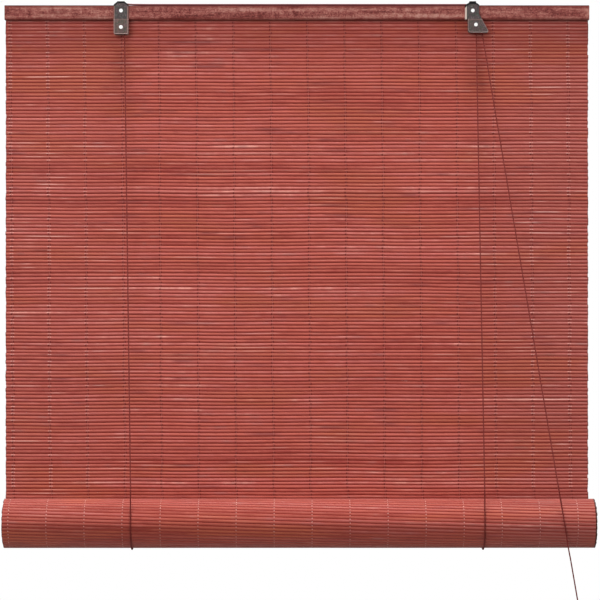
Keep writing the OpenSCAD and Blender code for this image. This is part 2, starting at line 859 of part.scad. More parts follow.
head_batten();
slat_mat();
warp_threads();
mat_staples();
left_bracket();
right_bracket();
bracket_tacks();
left_cord_front();
right_cord_front();
left_cord_back();
right_cord_back();
crossing_cord();
lock_cord();
anchor_staples();
left_upper_roller();
left_lower_roller();
right_upper_roller();
lock_roller();
left_cord_loop();
right_cord_loop();
mat_roll();
bottom_rod();
roll_threads();
pull_cord_upper();
pull_cord_bend();
pull_cord_lower();
pull_knob();
pull_knot();
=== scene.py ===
import math
import bpy
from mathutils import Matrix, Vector


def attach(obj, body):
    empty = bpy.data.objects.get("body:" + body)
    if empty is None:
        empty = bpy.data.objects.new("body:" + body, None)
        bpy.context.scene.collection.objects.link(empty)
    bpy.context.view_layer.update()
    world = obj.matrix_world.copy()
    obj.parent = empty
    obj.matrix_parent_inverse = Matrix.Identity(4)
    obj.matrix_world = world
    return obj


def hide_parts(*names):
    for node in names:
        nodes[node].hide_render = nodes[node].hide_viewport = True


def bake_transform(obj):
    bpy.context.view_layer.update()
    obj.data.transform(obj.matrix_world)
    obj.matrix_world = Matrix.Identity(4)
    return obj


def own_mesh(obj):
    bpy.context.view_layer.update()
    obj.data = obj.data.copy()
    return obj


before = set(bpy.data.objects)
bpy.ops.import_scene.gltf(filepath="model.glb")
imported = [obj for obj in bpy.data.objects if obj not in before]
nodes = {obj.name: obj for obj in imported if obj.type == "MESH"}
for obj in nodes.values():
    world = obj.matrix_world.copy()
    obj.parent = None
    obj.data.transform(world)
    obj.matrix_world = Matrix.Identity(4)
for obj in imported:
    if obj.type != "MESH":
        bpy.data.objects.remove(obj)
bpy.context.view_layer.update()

scene = bpy.context.scene
mm = 0.001

# sizes that the pieces share, the same as in the part's source
slatPitch = 4.76 * mm
slatThick = 1.5 * mm
matTop, matMidY = 7.5 * mm, -5.25 * mm
slatCount = 148
leftX, rightX = -240 * mm, 240 * mm
cordY, backCordY = -20 * mm, -3.3 * mm
battenBottom = -12 * mm
rollZ, rollY = -697.5 * mm, -42.5721 * mm
rollR, rollShift = 34.4721 * mm, 3.5 * mm
threadFirst, threadPitch, threadCount = -391 * mm, 51 * mm, 16
threadLean, threadWander = 5 * mm, 3 * mm  # how far the hanging threads drift to the right and stray


def wire(tree, kind, inputs=None, **settings):
    node = tree.nodes.new(kind)
    for key, value in settings.items():
        setattr(node, key, value)
    for key, value in (inputs or {}).items():
        if isinstance(value, bpy.types.NodeSocket):
            tree.links.new(value, node.inputs[key])
        else:
            node.inputs[key].default_value = value
    return node


def calc(tree, operation, a, b=0.0, c=0.0):
    return wire(tree, "ShaderNodeMath", {0: a, 1: b, 2: c}, operation=operation).outputs[0]


def fit(tree, value, factor, offset):
    return calc(tree, "MULTIPLY_ADD", value, factor, offset)


def times(tree, first, *others):
    for other in others:
        first = calc(tree, "MULTIPLY", first, other)
    return first


def plus(tree, first, *others):
    for other in others:
        first = calc(tree, "ADD", first, other)
    return first


def minus(tree, a, b):
    return calc(tree, "SUBTRACT", a, b)


def over(tree, a, b):
    return calc(tree, "DIVIDE", a, b)


def vector(tree, x=0.0, y=0.0, z=0.0):
    return wire(tree, "ShaderNodeCombineXYZ", {0: x, 1: y, 2: z}).outputs[0]


def split(tree, source):
    return wire(tree, "ShaderNodeSeparateXYZ", {0: source}).outputs


def cloud(tree, source, scale, detail=2.0, roughness=0.5):
    settings = {"Vector": source, "Scale": scale, "Detail": detail, "Roughness": roughness}
    return wire(tree, "ShaderNodeTexNoise", settings).outputs["Fac"]


def blendIn(tree, value, low, high, to=(0.0, 1.0)):  # smooth step from one value to another
    settings = {"Value": value, "From Min": low, "From Max": high, "To Min": to[0], "To Max": to[1]}
    return wire(tree, "ShaderNodeMapRange", settings, interpolation_type="SMOOTHSTEP").outputs[0]


# how a hanging warp thread drifts and strays: the threads and the bamboo's notches follow the same course
driftLook = {"fall": -1.43, "offset": -0.5, "waves": (9.0, 11.0), "layer": 1.7}


def threadSlope(tree, z, lean):
    return times(tree, fit(tree, z, driftLook["fall"], driftLook["offset"]), lean)


def threadStray(tree, x, z):
    along, up = driftLook["waves"]
    return cloud(tree, vector(tree, times(tree, x, along), times(tree, z, up), driftLook["layer"]), 1.0, 1.0)


def addObject(name, data):
    made = bpy.data.objects.new(name, data)
    scene.collection.objects.link(made)
    return made


# camera
lens = {"place": (4.26 * mm, -2.991, -0.3954), "focal": 130.5}
cameraData = bpy.data.cameras.new("photoCamera")
cameraData.lens = lens["focal"]
cameraData.sensor_width = 36.0
cameraData.clip_start, cameraData.clip_end = 0.05, 60.0
camera = addObject("photoCamera", cameraData)
camera.location = lens["place"]
camera.rotation_euler = (math.radians(90), 0.0, 0.0)
scene.camera = camera
print("camera set")


# node groups: named inputs, with the kind of socket that each value asks for
socketKinds = {int: "NodeSocketInt", float: "NodeSocketFloat", tuple: "NodeSocketVector",
               bpy.types.Material: "NodeSocketMaterial"}
anywhere = (0.0, 0.0, 0.0)


def startGroup(name, values, kind="ShaderNodeTree"):
    group = bpy.data.node_groups.new(name, kind)
    for label, value in values.items():
        socket = group.interface.new_socket(label, in_out="INPUT", socket_type=socketKinds[type(value)])
        socket.default_value = value
    return group, group.nodes.new("NodeGroupInput").outputs


def endGroup(group, outputs):
    for label, value in outputs.items():
        kind = "NodeSocketGeometry" if value.type == "GEOMETRY" else "NodeSocketFloat"
        group.interface.new_socket(label, in_out="OUTPUT", socket_type=kind)
    result = group.nodes.new("NodeGroupOutput").inputs
    for label, value in outputs.items():
        group.links.new(value, result[label])
    return group


# shader groups that several finishes share
def makeGrain():  # fibres along X: long streaks, fine lines and dark pores
    values = {"Vector": anywhere, "Stretch": 14.0, "Shift": 0.0}
    group, given = startGroup("woodGrain", values)
    at = split(group, given["Vector"])
    along = plus(group, over(group, at[0], given["Stretch"]), given["Shift"])
    place = vector(group, along, at[1], at[2])
    pore = cloud(group, place, 640.0, 1.0, 0.4)
    return endGroup(group, {"Streak": cloud(group, place, 210.0, 3.0, 0.55),
                            "Fibre": cloud(group, place, 1500.0, 2.0, 0.6),
                            "Pore": blendIn(group, pore, 0.6, 0.72)})


def makeBraid():  # two sets of strands that cross, on the piece's own UV map
    group, given = startGroup("braid", {"Vector": anywhere, "Strands": 4.0})
    at = split(group, given["Vector"])
    around, along = times(group, at[0], given["Strands"]), times(group, at[1], given["Strands"])
    halves = [calc(group, "SINE", times(group, calc(group, operation, around, along), 2 * math.pi))
              for operation in ("ADD", "SUBTRACT")]
    strand = calc(group, "MAXIMUM", *halves)
    return endGroup(group, {"Strand": fit(group, strand, 0.5, 0.5),
                            "Gap": blendIn(group, strand, 0.1, -0.35)})


def makeMottle():  # clouded tone with small specks, for sheet metal and moulded pieces
    group, given = startGroup("mottle", {"Vector": anywhere, "Scale": 220.0})
    place, scale = given["Vector"], given["Scale"]
    scuff = cloud(group, place, times(group, scale, 2.3), 5.0, 0.7)
    return endGroup(group, {"Cloud": cloud(group, place, scale, 4.0, 0.6),
                            "Speck": cloud(group, place, times(group, scale, 9.0), 2.0, 0.5),
                            "Scuff": blendIn(group, scuff, 0.52, 0.64)})


grain, braid, mottle = makeGrain(), makeBraid(), makeMottle()


def useGroup(tree, group, inputs):
    return wire(tree, "ShaderNodeGroup", inputs, node_tree=group).outputs


def newFinish(name, roughness, metallic=0.0, specular=0.5):
    finish = bpy.data.materials.new(name)
    finish.use_nodes = True
    tree = finish.node_tree
    tree.nodes.clear()
    inputs = {"Roughness": roughness, "Metallic": metallic, "Specular IOR Level": specular}
    surface = wire(tree, "ShaderNodeBsdfPrincipled", inputs)
    wire(tree, "ShaderNodeOutputMaterial", {"Surface": surface.outputs[0]})
    coords = tree.nodes.new("ShaderNodeTexCoord").outputs
    return finish, tree, surface, coords


def ramp(tree, factor, stops):
    node = tree.nodes.new("ShaderNodeValToRGB")
    parts = node.color_ramp.elements
    while len(parts) < len(stops):
        parts.new(0.5)
    for part, (place, colour) in zip(parts, stops):
        part.position = place
        part.color = (*colour, 1.0)
    tree.links.new(factor, node.inputs[0])
    return node.outputs["Color"]


def mixColour(tree, factor, a, b, kind="MIX"):
    a, b = (c if isinstance(c, bpy.types.NodeSocket) else (*c, 1.0) for c in (a, b))
    return wire(tree, "ShaderNodeMix", {0: factor, 6: a, 7: b}, data_type="RGBA", blend_type=kind).outputs[2]


def layered(tree, colour, look, layers):  # lays tones of a dictionary over a colour, each by its share
    for share, tone in layers:
        colour = mixColour(tree, share, colour, look[tone])
    return colour


def stored(tree, name, output="Fac"):
    return wire(tree, "ShaderNodeAttribute", attribute_name=name).outputs[output]


def coat(tree, surface, colour, height, distance, strength, roughness=None):  # colour, relief and gloss
    node = wire(tree, "ShaderNodeBump", {"Height": height, "Distance": distance, "Strength": strength})
    tree.links.new(node.outputs[0], surface.inputs["Normal"])
    tree.links.new(colour, surface.inputs["Base Color"])
    if roughness is not None:
        tree.links.new(roughness, surface.inputs["Roughness"])


# stained split bamboo: a tone for each slat and fibres along it; painted shade in the joints, over each
# slat's lower part and at the threads; painted highlights on the crowns and beside the threads; painted glare
# towards the sides; darkened cut ends
bambooLook = {
    "tones": [(0.0, (0.27, 0.040, 0.030)), (0.25, (0.36, 0.071, 0.051)), (0.5, (0.455, 0.103, 0.073)),
              (0.7, (0.465, 0.111, 0.091)), (0.88, (0.54, 0.160, 0.130)), (1.0, (0.68, 0.27, 0.22))],
    "edgeTone": (0.255, 0.027, 0.020), "poreTone": (0.16, 0.020, 0.015), "greyTone": (0.31, 0.120, 0.105),
    "highlightTone": (0.80, 0.44, 0.38), "threadShadeTone": (0.15, 0.013, 0.011), "smokeTone": (0.16, 0.042, 0.044),
    "warmTone": (0.41, 0.100, 0.050), "endTone": (0.040, 0.008, 0.007), "softTone": (0.9, 0.55, 0.45),
    "sheenTint": (1.0, 0.62, 0.55, 1.0), "sheenRoughness": 0.45,
    "mat": {"first": threadFirst, "lean": threadLean, "wander": threadWander, "threadShade": 0.95, "zigzag": 1.6 * mm,
            "threadHighlight": 0.55, "paintedGlint": 0.50, "depth": 1.06, "sheen": 0.0, "gloss": 0.16,
            "above": (0.66, 0.94), "below": (0.24, -0.62), "ends": (-399.1 * mm, 398.9 * mm), "endDarkening": 0.7},
    # the roll's copy has darker tones than the mat's: painted shade
    "roll": {"first": threadFirst + rollShift, "lean": 0.0, "wander": 0.0, "threadShade": 0.30, "zigzag": 0.0,
             "threadHighlight": 0.0, "paintedGlint": 0.12, "depth": 0.745, "sheen": 0.45, "gloss": 0.06,
             "above": (0.60, 0.92), "below": (-0.02, -0.72), "ends": (-395.6 * mm, 400.9 * mm), "endDarkening": 0.96},
}


def threadGap(tree, at, tone, look):  # distance to the nearest warp thread, which drifts and strays
    slope = threadSlope(tree, at[2], look["lean"])
    along = minus(tree, minus(tree, at[0], look["first"]), slope)
    column = calc(tree, "ROUND", over(tree, along, threadPitch))
    middle = fit(tree, column, threadPitch, look["first"])
    stray = times(tree, minus(tree, threadStray(tree, middle, at[2]), 0.5), look["wander"])
    beside = minus(tree, minus(tree, at[0], middle), plus(tree, stray, slope))
    zigzag = fit(tree, tone, look["zigzag"], -0.5 * look["zigzag"])
    return calc(tree, "ABSOLUTE", plus(tree, beside, zigzag))


def makeBamboo(name, look):
    finish, tree, surface, _ = newFinish(name, 0.6, specular=look["gloss"])
    surface.inputs["Sheen Weight"].default_value = look["sheen"]
    surface.inputs["Sheen Roughness"].default_value = bambooLook["sheenRoughness"]
    surface.inputs["Sheen Tint"].default_value = bambooLook["sheenTint"]
    tone, edge, rest = stored(tree, "tone"), stored(tree, "edge"), stored(tree, "rest", "Vector")
    fibres = useGroup(tree, grain, {"Vector": rest, "Stretch": 26.0, "Shift": times(tree, tone, 7.3)})
    at = split(tree, rest)
    row = times(tree, tone, 90.0)

    def alongSlat(scale, layer, detail=3.0):  # noise that differs from slat to slat
        return cloud(tree, vector(tree, times(tree, at[0], scale), row, layer), 1.0, detail)

    def acrossSlats(alongScale, layer, upScale):  # noise that runs on from slat to slat
        place = vector(tree, times(tree, at[0], alongScale), layer, times(tree, at[2], upScale))
        return cloud(tree, place, 1.0)

    drift, fleck = alongSlat(22.0, 0.0), alongSlat(70.0, 3.0, 2.0)
    smoke, streaks = alongSlat(11.0, 9.0), alongSlat(10.0, 5.0)
    patch, warm = acrossSlats(3.0, 0.0, 22.0), acrossSlats(5.0, 2.0, 26.0)
    mixed = plus(tree, fit(tree, tone, 0.44, -0.08), times(tree, drift, 0.76))
    for share, noise in ((0.80, patch), (0.80, fibres["Streak"]), (0.45, fleck)):
        mixed = plus(tree, mixed, fit(tree, noise, share, -0.5 * share))
    aside = blendIn(tree, calc(tree, "ABSOLUTE", at[0]), 0.18, 0.36)
    # greyer tone: random grey patches, and painted reflection that grows towards both sides
    greyAndGlare = plus(tree, blendIn(tree, drift, 0.60, 0.74, (0.0, 0.5)), times(tree, aside, 0.14),
                 blendIn(tree, at[0], 0.22, 0.36, (0.0, 0.22)))  # painted glare, stronger to the right
    # painted highlight: pale streaks on the slats' crowns, stronger towards the sides
    crown = times(tree, blendIn(tree, edge, -0.05, 0.25), blendIn(tree, edge, 0.65, 0.42))
    paintedGlint = times(tree, blendIn(tree, streaks, 0.57, 0.70), crown,
                  fit(tree, aside, 0.6 * look["paintedGlint"], 0.6 * look["paintedGlint"]))
    # painted shade: each slat darkens towards its joints and, on the hanging mat, over most of its lower half
    above, below = blendIn(tree, edge, *look["above"]), blendIn(tree, edge, *look["below"], (0.0, 0.88))
    gap = threadGap(tree, at, tone, look)
    # painted highlight: pale dashes on the crowns beside the threads, towards the sides
    threadHighlight = times(tree, blendIn(tree, gap, 3.0 * mm, 2.0 * mm, (0.0, look["threadHighlight"])), crown, aside,
                 blendIn(tree, tone, 0.30, 0.55))
    # painted shade: dark notches on the slats around the threads
    threadShade = times(tree, blendIn(tree, gap, 2.0 * mm, 0.7 * mm, (0.0, look["threadShade"])),
                blendIn(tree, edge, 0.30, -0.10))
    left, right = look["ends"]  # the cut ends are darkened: painted shade at the roll's ends, and the mat's ends are darkened the same way
    darkenedEnds = calc(tree, "MAXIMUM", blendIn(tree, at[0], left + 0.4 * mm, left - 0.4 * mm),
                  blendIn(tree, at[0], right - 0.4 * mm, right + 0.4 * mm))
    tones = [(place, [look["depth"] * c for c in shade]) for place, shade in bambooLook["tones"]]
    colour = layered(tree, ramp(tree, mixed, tones), bambooLook, [
        (greyAndGlare, "greyTone"),
        (blendIn(tree, warm, 0.50, 0.66, (0.0, 0.62)), "warmTone"),
        (blendIn(tree, smoke, 0.58, 0.72, (0.0, 0.55)), "smokeTone")])
    lines = blendIn(tree, fibres["Fibre"], 0.5, 0.8, (0.0, 0.3))
    colour = mixColour(tree, lines, colour, bambooLook["softTone"], "SOFT_LIGHT")
    colour = layered(tree, colour, bambooLook, [
        (times(tree, fibres["Pore"], 0.25), "poreTone"),
        (paintedGlint, "highlightTone"),
        (calc(tree, "MAXIMUM", above, below), "edgeTone"),
        (threadHighlight, "highlightTone"),
        (threadShade, "threadShadeTone"),
        (times(tree, darkenedEnds, look["endDarkening"]), "endTone")])
    coat(tree, surface, colour, fibres["Fibre"], 0.12 * mm, 0.7, fit(tree, fibres["Streak"], 0.24, 0.45))
    return finish


# stained wood of the head batten, the rod and the knob
woodLook = {
    "tones": [(0.0, (0.09, 0.017, 0.015)), (0.3, (0.21, 0.050, 0.043)), (0.5, (0.30, 0.085, 0.075)),
              (0.7, (0.36, 0.145, 0.112)), (1.0, (0.46, 0.230, 0.190))],
    "poreTone": (0.09, 0.018, 0.015), "edgeTone": (0.030, 0.002, 0.003), "darkBandTone": (0.15, 0.026, 0.020),
    "paleTone": (0.62, 0.32, 0.27),
    "battenBands": [(-6.4 * mm, -10.8 * mm, 0.60, "darkBandTone"), (4.4 * mm, 6.4 * mm, 0.70, "darkBandTone"),
                    (6.9 * mm, 7.7 * mm, 0.97, "edgeTone")],  # darker heights: from, to, share, tone; the lowest band is painted shade on the rounded lower edge, the two upper ones darken the top edge
}


def makeWood(name, turn=(0.0, 0.0, 0.0), stretch=16.0, vary=1.0, bands=()):
    finish, tree, surface, coords = newFinish(name, 0.7, specular=0.06)
    place = wire(tree, "ShaderNodeMapping", {"Vector": coords["Object"], "Rotation": turn}).outputs[0]
    fibres = useGroup(tree, grain, {"Vector": place, "Stretch": stretch, "Shift": 0.37})
    flecks = useGroup(tree, grain, {"Vector": place, "Stretch": 3.0, "Shift": 1.9})
    clouded = useGroup(tree, mottle, {"Vector": place, "Scale": 130.0})
    tone = plus(tree, fit(tree, fibres["Streak"], 1.70, -0.35), fit(tree, clouded["Cloud"], 1.4, -0.7),
                fit(tree, flecks["Fibre"], 2.2, -1.1))
    tone = fit(tree, tone, vary, 0.5 - 0.5 * vary)
    layers = [(times(tree, fibres["Pore"], 0.5), "poreTone"),
              (blendIn(tree, fibres["Fibre"], 0.55, 0.8, (0.0, 0.3)), "paleTone")]
    height = fit(tree, flecks["Streak"], 1.6 * mm, split(tree, coords["Object"])[2])
    # painted shade along the lower edge, and a darker top edge
    for low, high, share, shade in bands:
        layers.append((blendIn(tree, height, low, high, (0.0, share)), shade))
    colour = layered(tree, ramp(tree, tone, woodLook["tones"]), woodLook, layers)
    coat(tree, surface, colour, fibres["Fibre"], 0.15 * mm, 0.6, fit(tree, clouded["Cloud"], 0.25, 0.55))
    return finish


# braided cord and spun thread share the braid on the piece's UV map
def makeBraided(name, light, dark, strands, depth):
    finish, tree, surface, coords = newFinish(name, 0.8, specular=0.12)
    surface.inputs["Sheen Weight"].default_value = 0.04
    strand = useGroup(tree, braid, {"Vector": coords["UV"], "Strands": strands})
    spots = cloud(tree, coords["Object"], 900.0, 2.0)
    colour = mixColour(tree, fit(tree, spots, 0.6, 0.1), dark, light)
    # painted shade: darker in the gaps between the strands
    colour = mixColour(tree, times(tree, strand["Gap"], 0.7), colour, [0.35 * c for c in dark])
    coat(tree, surface, colour, strand["Strand"], depth, 0.8)
    return finish


# coated bracket steel: dark plates with random tints; painted shade makes the necks and shoulders black and a
# line beside the lock's fold dark; painted light makes the lower plates, bends and crease paler and the
# slanted wall bright
steelLook = {
    "shadowBlack": (0.002, 0.002, 0.002), "upper": (0.063, 0.048, 0.048), "lower": (0.122, 0.072, 0.062),
    "green": (0.046, 0.062, 0.046), "violet": (0.092, 0.060, 0.068), "edgeHighlight": (0.33, 0.19, 0.165),
    "wallHighlight": (0.86, 0.79, 0.71), "foldShade": (0.020, 0.028, 0.022), "speckle": (0.36, 0.32, 0.30),
    "pit": (0.03, 0.027, 0.026),
    "neckHalf": 4.5 * mm, "leftTop": 11.2 * mm, "rightTop": 9.9 * mm, "blackBand": 1.7 * mm,
}


def makeBracketSteel():
    finish, tree, surface, coords = newFinish("bracketSteel", 0.6, metallic=0.05, specular=0.12)
    at = split(tree, coords["Object"])
    off = minus(tree, calc(tree, "ABSOLUTE", at[0]), rightX)  # from the bracket's middle
    apart = calc(tree, "ABSOLUTE", off)
    onRight = calc(tree, "GREATER_THAN", at[0], 0.0)
    clouded = useGroup(tree, mottle, {"Vector": coords["Object"], "Scale": 190.0})
    # painted light: the plates below the batten are lighter, less so on the lock's plate
    low = blendIn(tree, at[2], battenBottom + 0.3 * mm, battenBottom - 0.3 * mm)
    low = times(tree, low, fit(tree, onRight, -0.6, 1.0))
    tint = cloud(tree, coords["Object"], 260.0, 1.0)
    speck = cloud(tree, coords["Object"], 700.0, 2.0, 0.6)
    # painted highlights: a pale line along the crease and pale sides on the left bracket
    crease = calc(tree, "ABSOLUTE", minus(tree, at[2], battenBottom - 0.7 * mm))
    bend = minus(tree, blendIn(tree, apart, 8.3 * mm, 8.9 * mm), onRight)
    upper = times(tree, onRight, calc(tree, "GREATER_THAN", at[2], battenBottom))
    # painted shade: a dark line beside the lock's fold
    fold = blendIn(tree, calc(tree, "ABSOLUTE", plus(tree, off, 7.3 * mm)), 0.75 * mm, 0.45 * mm)
    # painted highlight: the lock's slanted wall is bright cream
    litWall = blendIn(tree, off, -7.9 * mm, -8.1 * mm)
    # painted shade: the necks and shoulders are black in a band below their top edge
    slope = calc(tree, "MAXIMUM", minus(tree, apart, steelLook["neckHalf"]), 0.0)
    top = fit(tree, onRight, steelLook["rightTop"] - steelLook["leftTop"], steelLook["leftTop"])
    edge = minus(tree, at[2], fit(tree, slope, -0.75, top))
    band = steelLook["blackBand"]
    colour = layered(tree, steelLook["upper"], steelLook, [
        (low, "lower"),
        (blendIn(tree, tint, 0.52, 0.66, (0.0, 0.7)), "green"),
        (blendIn(tree, tint, 0.48, 0.36, (0.0, 0.7)), "violet"),
        (blendIn(tree, speck, 0.52, 0.70, (0.0, 0.28)), "speckle"),
        (blendIn(tree, speck, 0.48, 0.32, (0.0, 0.6)), "pit"),
        (times(tree, blendIn(tree, crease, 1.0 * mm, 0.5 * mm), 0.26), "edgeHighlight"),
        (times(tree, bend, 0.72), "edgeHighlight"),
        (times(tree, fold, upper, 0.8), "foldShade"),
        (times(tree, litWall, upper), "wallHighlight"),
        (blendIn(tree, edge, -band - 0.3 * mm, -band + 0.3 * mm), "shadowBlack")])
    coat(tree, surface, colour, clouded["Speck"], 0.05 * mm, 0.5, fit(tree, clouded["Cloud"], 0.3, 0.38))
    return finish


# bare wire, the rims' steel, coloured paler as painted highlight, and white nylon, darkened behind the front
# plates as painted shade
nylonLook = {"shadeFrom": -23.0 * mm, "shadeTone": (0.05, 0.048, 0.046)}


def makeSpeckled(name, tone, spots, roughness, metallic, scale, shadeFrom=None):
    finish, tree, surface, coords = newFinish(name, roughness, metallic)
    clouded = useGroup(tree, mottle, {"Vector": coords["Object"], "Scale": scale})
    colour = mixColour(tree, times(tree, clouded["Cloud"], 0.5), tone, spots)
    colour = mixColour(tree, times(tree, clouded["Scuff"], 0.25), colour, spots)
    if shadeFrom is not None:
        # painted shade: the nylon behind the front plates is dark
        depth = split(tree, coords["Object"])[1]
        shadedBack = blendIn(tree, depth, shadeFrom - 0.1 * mm, shadeFrom + 0.1 * mm)
        colour = mixColour(tree, shadedBack, colour, nylonLook["shadeTone"])
    rough = fit(tree, clouded["Speck"], 0.2, roughness - 0.1)
    coat(tree, surface, colour, clouded["Speck"], 0.03 * mm, 0.4, rough)
    return finish


matBamboo = makeBamboo("matBamboo", bambooLook["mat"])
rollBamboo = makeBamboo("rollBamboo", bambooLook["roll"])
battenWood = makeWood("battenWood", bands=woodLook["battenBands"])
rodWood = makeWood("rodWood", stretch=20.0, vary=0.5)
knobWood = makeWood("knobWood", turn=(0.0, math.radians(90), 0.0), stretch=9.0, vary=0.4)
cordBraid = makeBraided("cordBraid", (0.23, 0.030, 0.025), (0.12, 0.012, 0.010), 3.0, 0.25 * mm)
# a lighter copy of the cord for the runs that hang in front and the pull cord's upper run: painted light
litCordBraid = makeBraided("litCordBraid", (0.30, 0.052, 0.043), (0.19, 0.027, 0.022), 3.0, 0.25 * mm)
warpYarn = makeBraided("warpYarn", (0.60, 0.185, 0.150), (0.45, 0.105, 0.084), 2.0, 0.10 * mm)
# the threads round the roll are a much paler copy of the warp yarn: painted highlight
litYarn = makeBraided("litYarn", (0.90, 0.56, 0.49), (0.58, 0.27, 0.225), 2.0, 0.10 * mm)
bracketSteel = makeBracketSteel()
# the rims' steel is paler than the plates: painted highlight
litRimSteel = makeSpeckled("litRimSteel", (0.25, 0.155, 0.138), (0.13, 0.090, 0.082), 0.5, 0.1, 260.0)
brightWire = makeSpeckled("brightWire", (0.62, 0.61, 0.59), (0.30, 0.29, 0.28), 0.35, 0.9, 300.0)
whiteNylon = makeSpeckled("whiteNylon", (0.95, 0.95, 0.94), (0.88, 0.87, 0.85), 0.38, 0.0, 240.0,
                          nylonLook["shadeFrom"])
print("finishes made")


def addMesh(name, verts, faces, finish):
    mesh = bpy.data.meshes.new(name)
    mesh.from_pydata([tuple(v) for v in verts], [], faces)
    mesh.materials.append(finish)
    return addObject(name, mesh)


def seat(piece, node, body):  # the node a piece stands for, which is hidden, and the body the piece rides on
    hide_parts(node)
    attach(piece, body)


# cords: tubes with a UV map that runs round and along them
cordLook = {"radius": 0.9 * mm, "sides": 10, "step": 4 * mm, "gap": 0.3 * mm}


def smoothRoute(points, step):  # a curve through all points, in even short steps
    points = [Vector(p) for p in points]
    route = []
    for i in range(len(points) - 1):
        before, here = points[max(i - 1, 0)], points[i]
        there, after = points[i + 1], points[min(i + 2, len(points) - 1)]
        gap = (there - here).length
        pieces = max(2, round(gap / step))
        reach = 0.5 * gap
        leave = (there - before).normalized() * reach
        arrive = (after - here).normalized() * reach
        for k in range(pieces):
            t = k / pieces
            route.append((2 * t**3 - 3 * t**2 + 1) * here + (t**3 - 2 * t**2 + t) * leave
                         + (3 * t**2 - 2 * t**3) * there + (t**3 - t**2) * arrive)
    return route + [points[-1]]


def ringAround(point, across, up, radius, sides):
    turns = [2 * math.pi * k / sides for k in range(sides)]
    return [point + radius * (math.cos(a) * across + math.sin(a) * up) for a in turns]


def makeTube(name, route, radius, sides, finish, closed=False):
    count = len(route)
    verts, faces, uvs = [], [], []
    across = None
    travelled = [0.0]
    for a, b in zip(route, route[1:]):
        travelled.append(travelled[-1] + (b - a).length)
    for i, point in enumerate(route):
        if closed:
            ahead = route[(i + 1) % count] - route[i - 1]
        else:
            ahead = route[min(i + 1, count - 1)] - route[max(i - 1, 0)]
        ahead.normalize()
        if across is None:
            across = ahead.orthogonal()
        across = (across - ahead * across.dot(ahead)).normalized()
        up = ahead.cross(across)
        verts += ringAround(point, across, up, radius, sides)
    spans = count if closed else count - 1
    girth = 2 * math.pi * radius
    for i in range(spans):
        n = (i + 1) % count
        v0 = travelled[i] / girth
        v1 = (travelled[i + 1] if i + 1 < count else travelled[-1] + (route[0] - route[-1]).length) / girth
        for k in range(sides):
            m = (k + 1) % sides
            faces.append((i * sides + k, i * sides + m, n * sides + m, n * sides + k))
            uvs += [(k / sides, v0), ((k + 1) / sides, v0), ((k + 1) / sides, v1), (k / sides, v1)]
    if not closed:
        faces.append(tuple(reversed(range(sides))))
        faces.append(tuple((count - 1) * sides + k for k in range(sides)))
        uvs += [(0.0, 0.0)] * (2 * sides)
    tube = addMesh(name, verts, faces, finish)
    layer = tube.data.uv_layers.new(name="braidMap")
    for loop, uv in zip(layer.data, uvs):
        loop.uv = uv
    for face in tube.data.polygons:
        face.use_smooth = len(face.vertices) == 4
    return tube


def makeCord(name, points, node, step=None, finish=cordBraid):
    route = smoothRoute(points, step or cordLook["step"])
    cord = makeTube(name, route, cordLook["radius"], cordLook["sides"], finish)
    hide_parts(node)
    return cord, route


loopR = rollR + 1.2 * mm  # middle of a lift cord on the roll
pullR = 36.572 * mm  # middle of the pull cord on the roll
exitZ = -33.7 * mm
loopTopZ = rollZ + rollR + 13.5 * mm
loopMidZ = (rollZ + loopTopZ) / 2
gap = cordLook["gap"]  # between two cords that follow each other


def aroundRoll(x, r, angle):  # angle in degrees from the back, downwards
    turn = math.radians(angle)
    return Vector((x, rollY + r * math.cos(turn), rollZ - r * math.sin(turn)))


def leanTo(r):
    dy, dz = cordY - rollY, exitZ - rollZ
    return math.degrees(math.atan(dy / dz) + math.asin(r / math.hypot(dy, dz)))


def onLean(x, r, z):
    lean = leanTo(r)
    touch = aroundRoll(x, r, 180 + lean)
    return Vector((x, touch.y + (z - touch.z) * math.tan(math.radians(lean)), z))


def hang(cord, top, low):  # rides on the headrail, on its own copy of the mesh
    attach(cord, "headrail")
    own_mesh(cord)


liftCords = {
    "left": {"top": leftX + 4.6 * mm, "loop": leftX + 17 * mm},
    "right": {"top": rightX + 5 * mm, "loop": rightX + 12 * mm},
}
anchorZ = battenBottom + 6 * mm
for side, cordAt in liftCords.items():
    x = cordAt["loop"]
    top = Vector((cordAt["top"], cordY, exitZ - gap))
    low = onLean(x, loopR, loopTopZ + gap)
    front, _ = makeCord(side + "LiftCord", [top, low], side + "_cord_front", finish=litCordBraid)
    hang(front, top, low)

    arcStart, leaveAngle = 180 + leanTo(loopR), 30
    arcCount = math.ceil((arcStart - leaveAngle) / 9)
    leave = aroundRoll(x, loopR, leaveAngle)
    rise = (backCordY - leave.y) / math.tan(math.radians(leaveAngle))
    points = [onLean(x, loopR, loopTopZ), onLean(x, loopR, loopMidZ)]
    arcStep = (arcStart - leaveAngle) / arcCount
    points += [aroundRoll(x, loopR, arcStart - i * arcStep) for i in range(arcCount + 1)]
    points += [(x, backCordY, z) for z in (leave.z + rise, loopMidZ, loopTopZ)]
    loop, _ = makeCord(side + "CordLoop", points, side + "_cord_loop", 2.5 * mm)
    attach(loop, "cord_loops")

    backTop = Vector((x, backCordY, anchorZ + 3.4 * mm))
    backLow = Vector((x, backCordY, loopTopZ + gap))
    back, _ = makeCord(side + "BackCord", [backTop, backLow], side + "_cord_back")
    hang(back, backTop, backLow)

